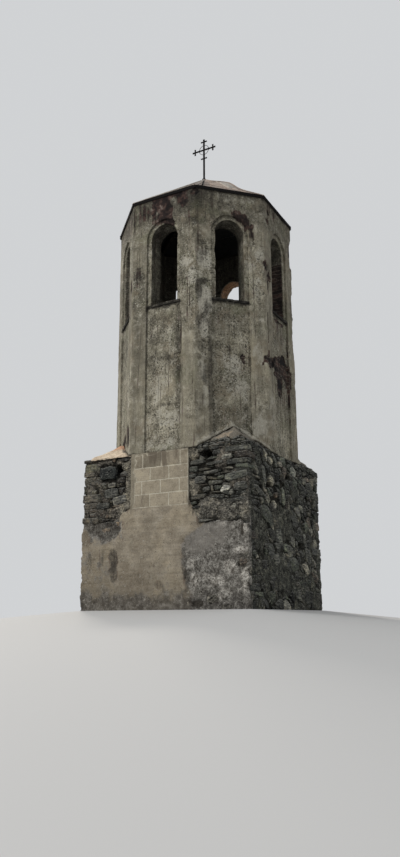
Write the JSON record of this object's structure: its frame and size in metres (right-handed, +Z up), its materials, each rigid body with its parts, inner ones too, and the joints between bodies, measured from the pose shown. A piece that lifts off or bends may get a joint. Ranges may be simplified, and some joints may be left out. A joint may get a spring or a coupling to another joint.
{
  "type": "church bell tower",
  "caption": "Free-standing octagonal church bell tower: square rubble base with a walled-up doorway, rendered shaft with arched belfry openings, low sheet roof and iron cross.",
  "frame": {"origin": "on the ground, at the middle of the square base", "axes": "+Z up, +X to the right when facing the walled-up doorway, which faces -Y"},
  "size_m": [4.016, 4.016, 11.988],
  "materials": {
    "rubble": "rough schist and river stones in lime mortar",
    "mortar_cap": "rough mortar over rubble",
    "shaft_render": "weathered cement and lime render with streaks and lichen",
    "block_infill": "sand-cement blocks with light joints",
    "lintel_stone": "rough stone",
    "cement_coat": "hand-thrown cement coat, stained",
    "sill_cement": "weathered cement",
    "timber": "old unplaned timber",
    "eave_timber": "dark weathered board",
    "roof_sheet": "dull galvanised sheet",
    "lifted_sheet": "faded pinkish sheet",
    "wrought_iron": "black forged iron"
  },
  "bodies": {
    "root": {"arch_head_back": "shaft_render", "arch_head_back_left": "shaft_render", "arch_head_back_right": "shaft_render", "arch_head_front": "shaft_render", "arch_head_front_left": "shaft_render", "arch_head_front_right": "shaft_render", "arch_head_left": "shaft_render", "arch_head_right": "shaft_render", "base_back_wall": "rubble", "base_front_wall_left": "rubble", "base_front_wall_right": "rubble", "base_left_wall": "rubble", "base_right_wall": "rubble", "belfry_floor": "timber", "belfry_joists": "timber", "broach_back_left": "mortar_cap", "broach_back_right": "mortar_cap", "broach_front_left": "mortar_cap", "broach_front_right": "mortar_cap", "corner_pier_1": "shaft_render", "corner_pier_2": "shaft_render", "corner_pier_3": "shaft_render", "corner_pier_4": "shaft_render", "corner_pier_5": "shaft_render", "corner_pier_6": "shaft_render", "corner_pier_7": "shaft_render", "corner_pier_8": "shaft_render", "door_lintel": "lintel_stone", "doorway_infill": "block_infill", "eave_board": "eave_timber", "front_render_coat": "cement_coat", "hip_rafters": "timber", "iron_cross": "wrought_iron", "king_post": "timber", "lifted_roof_sheet": "lifted_sheet", "panel_wall_back": "shaft_render", "panel_wall_back_left": "shaft_render", "panel_wall_back_right": "shaft_render", "panel_wall_front": "shaft_render", "panel_wall_front_left": "shaft_render", "panel_wall_front_right": "shaft_render", "panel_wall_left": "shaft_render", "panel_wall_right": "shaft_render", "roof_covering": "roof_sheet", "wall_plate": "timber", "window_sills": "sill_cement"}
  },
  "joints": []
}
